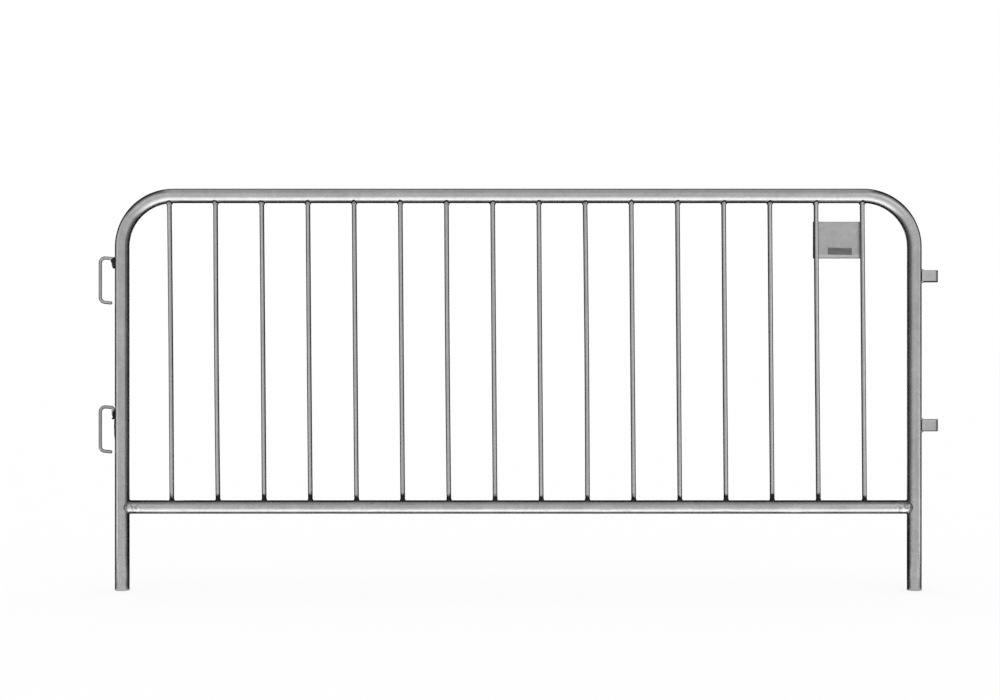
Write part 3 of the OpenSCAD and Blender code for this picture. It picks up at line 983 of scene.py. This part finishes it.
above_steps = [(-0.25, 0.01), (-0.08, 0.25), (0.1, 0.55), (0.5, 0.68), (0.75, 0.84), (0.95, 1.0)]
top_rail_steps = [
    (-0.60, 0.02), (-0.45, 0.5), (-0.33, 0.85), (0.34, 0.76), (0.63, 0.86), (0.82, 1.03), (0.97, 1.25)]
top_rail_reach = [(2.5, 1.0), (2.9, 0.0)]
below_steps = [
    (-0.2, 0.004), (0.0, 0.8), (0.25, 1.1), (0.38, 3.1), (0.52, 3.2), (0.77, 2.2), (0.92, 1.6), (1.0, 1.1)]
plain_steps = [(-0.2, 0.004), (0.0, 0.09), (0.3, 0.2), (0.57, 0.53), (0.7, 0.8), (0.85, 0.95), (1.0, 1.05)]
rail_reach = [
    (0.18, 0.0), (0.205, 1.0), (0.27, 1.0), (0.32, 0.0), (0.95, 0.0), (1.02, 1.0), (1.17, 1.0), (1.32, 0.0)]
far_wall_steps = [
    (-0.02, 0.02), (0.08, 0.20), (0.2, 0.36), (0.5, 0.40), (0.58, 0.6), (0.66, 1.3), (0.76, 1.2), (0.86, 1.0)]
far_wall_reach = [(0.78, 1.3), (1.7, 1.0), (2.8, 0.7)]
outer_bar_steps = [
    (-0.02, 0.01), (0.2, 0.03), (0.38, 0.1), (0.5, 0.35), (0.58, 0.6), (0.66, 1.0), (0.86, 0.9)]
outer_bar_reach = [(1.8, 0.0), (2.3, 1.0), (2.67, 1.0), (2.73, 0.0)]
near_wall_steps = [(-0.3, 1.0), (0.0, 1.2), (0.2, 1.3), (0.45, 1.02), (0.6, 1.0)]
near_wall_reach = [(0.62, 1.0), (0.70, 1.0), (0.78, 0.0)]
low_stripe_steps = [(0.05, 0.0), (0.22, 1.0), (0.42, 1.0), (0.58, 0.0)]
low_stripe_height = [(0.0, 0.85), (0.15, 0.60), (0.40, 0.28), (0.80, 0.0)]
hook_wall_steps = [(-0.02, 0.05), (0.3, 0.2), (0.5, 0.6), (0.65, 1.0)]
hook_wall_reach = [(0.57, 1.0), (0.585, 1.0), (0.592, 0.0)]
behind_wall_steps = [(-0.6, 0.4), (-0.1, 1.0)]
behind_wall_reach = [(2.68, 0.004), (2.74, 0.09)]

reflected_card("card_above_behind", level_corners(above_end, set_back, set_top, back_top))
reflected_card("card_below_behind", level_corners(below_end, below_back, below_behind_z, below_behind_z))

tree, brightness = reflected_card("card_above", level_corners(above_end, set_front, set_top, set_top))
reach, slope, _ = ray_path(tree)
top_rail = stepped(tree, slope, top_rail_steps)
above = stepped(tree, slope, above_steps)
tree.links.new(mixed(tree, stepped(tree, reach, top_rail_reach), top_rail, above), brightness)

tree, brightness = reflected_card("card_below", level_corners(below_end, below_front, below_z, below_z))
reach, slope, _ = ray_path(tree)
lower_rail = stepped(tree, slope, below_steps)
plain = stepped(tree, slope, plain_steps)
tree.links.new(mixed(tree, stepped(tree, reach, rail_reach), lower_rail, plain), brightness)

for name, side, far_level in (("left", -1, 1.0), ("right", 1, 1.22)):
    near_x = side * wall_x
    tree, brightness = reflected_card(f"card_{name}", wall_corners(
        near_x, wall_end, near_x, wall_front, set_top))
    reach, slope, height = ray_path(tree)
    far_levels = [(place, step * far_level) for place, step in far_wall_steps]
    far_wall = calc(tree, "MULTIPLY", stepped(tree, slope, far_levels), stepped(tree, reach, far_wall_reach))
    outer_bars = stepped(tree, slope, outer_bar_steps)
    level = mixed(tree, stepped(tree, reach, outer_bar_reach), outer_bars, far_wall)
    near_wall = stepped(tree, slope, near_wall_steps)
    stripe_height = stepped(tree, height, low_stripe_height)
    low_stripe = calc(tree, "MULTIPLY", stepped(tree, slope, low_stripe_steps), stripe_height)
    striped = calc(tree, "MULTIPLY_ADD", near_wall, low_stripe, near_wall)
    level = mixed(tree, stepped(tree, reach, near_wall_reach), striped, level)
    hook_wall = stepped(tree, slope, hook_wall_steps)
    level = mixed(tree, stepped(tree, reach, hook_wall_reach), hook_wall, level)
    tree.links.new(level, brightness)
    tree, brightness = reflected_card(f"card_{name}_behind", wall_corners(
        near_x, wall_end, side * wall_back_x, set_back, back_top))
    reach, slope, _ = ray_path(tree)
    behind_wall = stepped(tree, slope, behind_wall_steps)
    level = calc(tree, "MULTIPLY", behind_wall, stepped(tree, reach, behind_wall_reach))
    tree.links.new(level, brightness)
